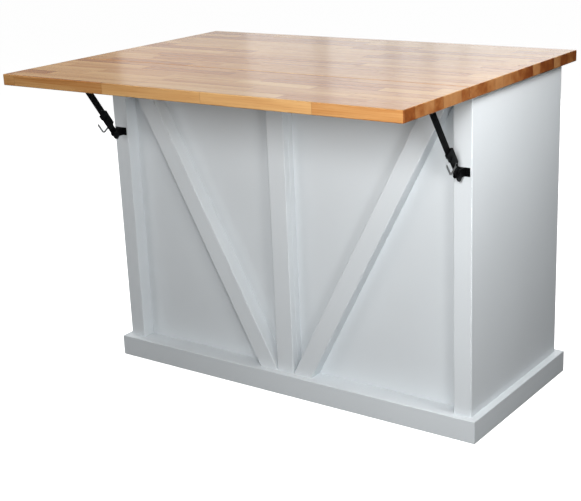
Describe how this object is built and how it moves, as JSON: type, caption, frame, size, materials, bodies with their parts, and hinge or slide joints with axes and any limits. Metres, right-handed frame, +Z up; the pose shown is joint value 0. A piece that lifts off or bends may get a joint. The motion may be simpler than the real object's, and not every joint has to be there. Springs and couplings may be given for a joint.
{
  "type": "drop leaf kitchen island",
  "caption": "Painted kitchen island cabinet with diagonal braces, drawers and doors, and a butcher-block top whose hinged leaf is held up by folding stays",
  "frame": {"origin": "on the floor, at the middle of the plan of the bounding box with the leaf raised", "axes": "+X along the top to the right as seen from the leaf side, +Y from the leaf to the doors, +Z up"},
  "size_m": [1.22, 0.899, 0.914],
  "materials": {
    "painted_wood": "satin paint, pale cool grey",
    "butcher_block": "oiled staves, satin",
    "plain_wood": "clear lacquer, satin",
    "black_metal": "black powder coat",
    "bare_steel": "zinc plated",
    "black_plastic": "moulded, matt"
  },
  "bodies": {
    "cabinet": {"fixed_top": "butcher_block", "corner_post_left": "painted_wood", "corner_post_right": "painted_wood", "centre_stile": "painted_wood", "centre_batten": "painted_wood", "side_panel_left": "painted_wood", "side_panel_right": "painted_wood", "back_panel_left": "painted_wood", "back_panel_right": "painted_wood", "brace_left": "painted_wood", "brace_right": "painted_wood", "plinth_front": "painted_wood", "plinth_back": "painted_wood", "plinth_left": "painted_wood", "plinth_right": "painted_wood", "bottom_panel": "painted_wood", "partition": "plain_wood", "top_stretchers": "plain_wood", "frame_stiles": "painted_wood", "frame_rails": "painted_wood", "drawer_runners": "plain_wood", "shelf_left": "plain_wood", "shelf_right": "plain_wood", "shelf_pins": "bare_steel", "door_catches": "black_plastic", "leaf_hinge_fixed": "black_metal", "leaf_hinge_pins": "black_metal", "stay_foot_left": "black_metal", "stay_foot_right": "black_metal", "stay_foot_pins": "black_metal", "door_hinge_fixed": "black_metal", "door_hinge_pins": "black_metal", "cabinet_screws": "black_metal"},
    "leaf": {"leaf": "butcher_block", "leaf_hinge_moving": "black_metal", "stay_heads": "black_metal", "stay_head_pins": "black_metal", "leaf_screws": "black_metal"},
    "lower_arm_left": {"lower_arm_left": "black_metal"},
    "lower_arm_right": {"lower_arm_right": "black_metal"},
    "upper_arm_left": {"upper_arm_left": "black_metal"},
    "upper_arm_right": {"upper_arm_right": "black_metal"},
    "release_left": {"release_left": "bare_steel"},
    "release_right": {"release_right": "bare_steel"},
    "drawer_left": {"drawer_left_front": "painted_wood", "drawer_left_box": "plain_wood", "drawer_left_bottom": "plain_wood", "drawer_left_knob": "black_metal"},
    "door_left": {"door_left_frame": "painted_wood", "door_left_panel": "painted_wood", "door_left_knob": "black_metal", "door_left_hinges": "black_metal"},
    "drawer_right": {"drawer_right_front": "painted_wood", "drawer_right_box": "plain_wood", "drawer_right_bottom": "plain_wood", "drawer_right_knob": "black_metal"},
    "door_right": {"door_right_frame": "painted_wood", "door_right_panel": "painted_wood", "door_right_knob": "black_metal", "door_right_hinges": "black_metal"}
  },
  "joints": [
    {"name": "leaf_hinge", "type": "hinge", "parent": "cabinet", "child": "leaf", "pos_m": [0, -0.154, 0.881], "axis": [1, 0, 0], "range_deg": [0, 90]},
    {"name": "lower_arm_left_pivot", "type": "hinge", "parent": "cabinet", "child": "lower_arm_left", "pos_m": [-0.553, -0.1095, 0.696], "axis": [1, 0, 0], "range_deg": [0, 125.1]},
    {"name": "upper_arm_left_pivot", "type": "hinge", "parent": "leaf", "child": "upper_arm_left", "pos_m": [-0.553, -0.23, 0.871], "axis": [-1, 0, 0], "range_deg": [0, 118.8]},
    {"name": "release_left_pivot", "type": "hinge", "parent": "lower_arm_left", "child": "release_left", "pos_m": [-0.553, -0.12291, 0.72076], "axis": [-1, 0, 0], "range_deg": [0, 10], "stiffness_Nm_per_rad": 0.05, "springref_deg": -17.19},
    {"name": "lower_arm_right_pivot", "type": "hinge", "parent": "cabinet", "child": "lower_arm_right", "pos_m": [0.553, -0.1095, 0.696], "axis": [1, 0, 0], "range_deg": [0, 125.1]},
    {"name": "upper_arm_right_pivot", "type": "hinge", "parent": "leaf", "child": "upper_arm_right", "pos_m": [0.553, -0.23, 0.871], "axis": [-1, 0, 0], "range_deg": [0, 118.8]},
    {"name": "release_right_pivot", "type": "hinge", "parent": "lower_arm_right", "child": "release_right", "pos_m": [0.553, -0.12291, 0.72076], "axis": [-1, 0, 0], "range_deg": [0, 10], "stiffness_Nm_per_rad": 0.05, "springref_deg": -17.19},
    {"name": "drawer_left_slide", "type": "slide", "parent": "cabinet", "child": "drawer_left", "axis": [0, 1, 0], "range_m": [0, 0.34]},
    {"name": "door_left_hinge", "type": "hinge", "parent": "cabinet", "child": "door_left", "pos_m": [-0.5265, 0.4249, 0.368], "axis": [0, 0, 1], "range_deg": [0, 105]},
    {"name": "drawer_right_slide", "type": "slide", "parent": "cabinet", "child": "drawer_right", "axis": [0, 1, 0], "range_m": [0, 0.34]},
    {"name": "door_right_hinge", "type": "hinge", "parent": "cabinet", "child": "door_right", "pos_m": [0.5265, 0.4249, 0.368], "axis": [0, 0, -1], "range_deg": [0, 105]}
  ],
  "couplings": [
    {"joint": "lower_arm_left_pivot", "follows": "leaf_hinge", "ratio": 1.3892},
    {"joint": "upper_arm_left_pivot", "follows": "leaf_hinge", "ratio": 1.3199},
    {"joint": "lower_arm_right_pivot", "follows": "leaf_hinge", "ratio": 1.3892},
    {"joint": "upper_arm_right_pivot", "follows": "leaf_hinge", "ratio": 1.3199}
  ]
}
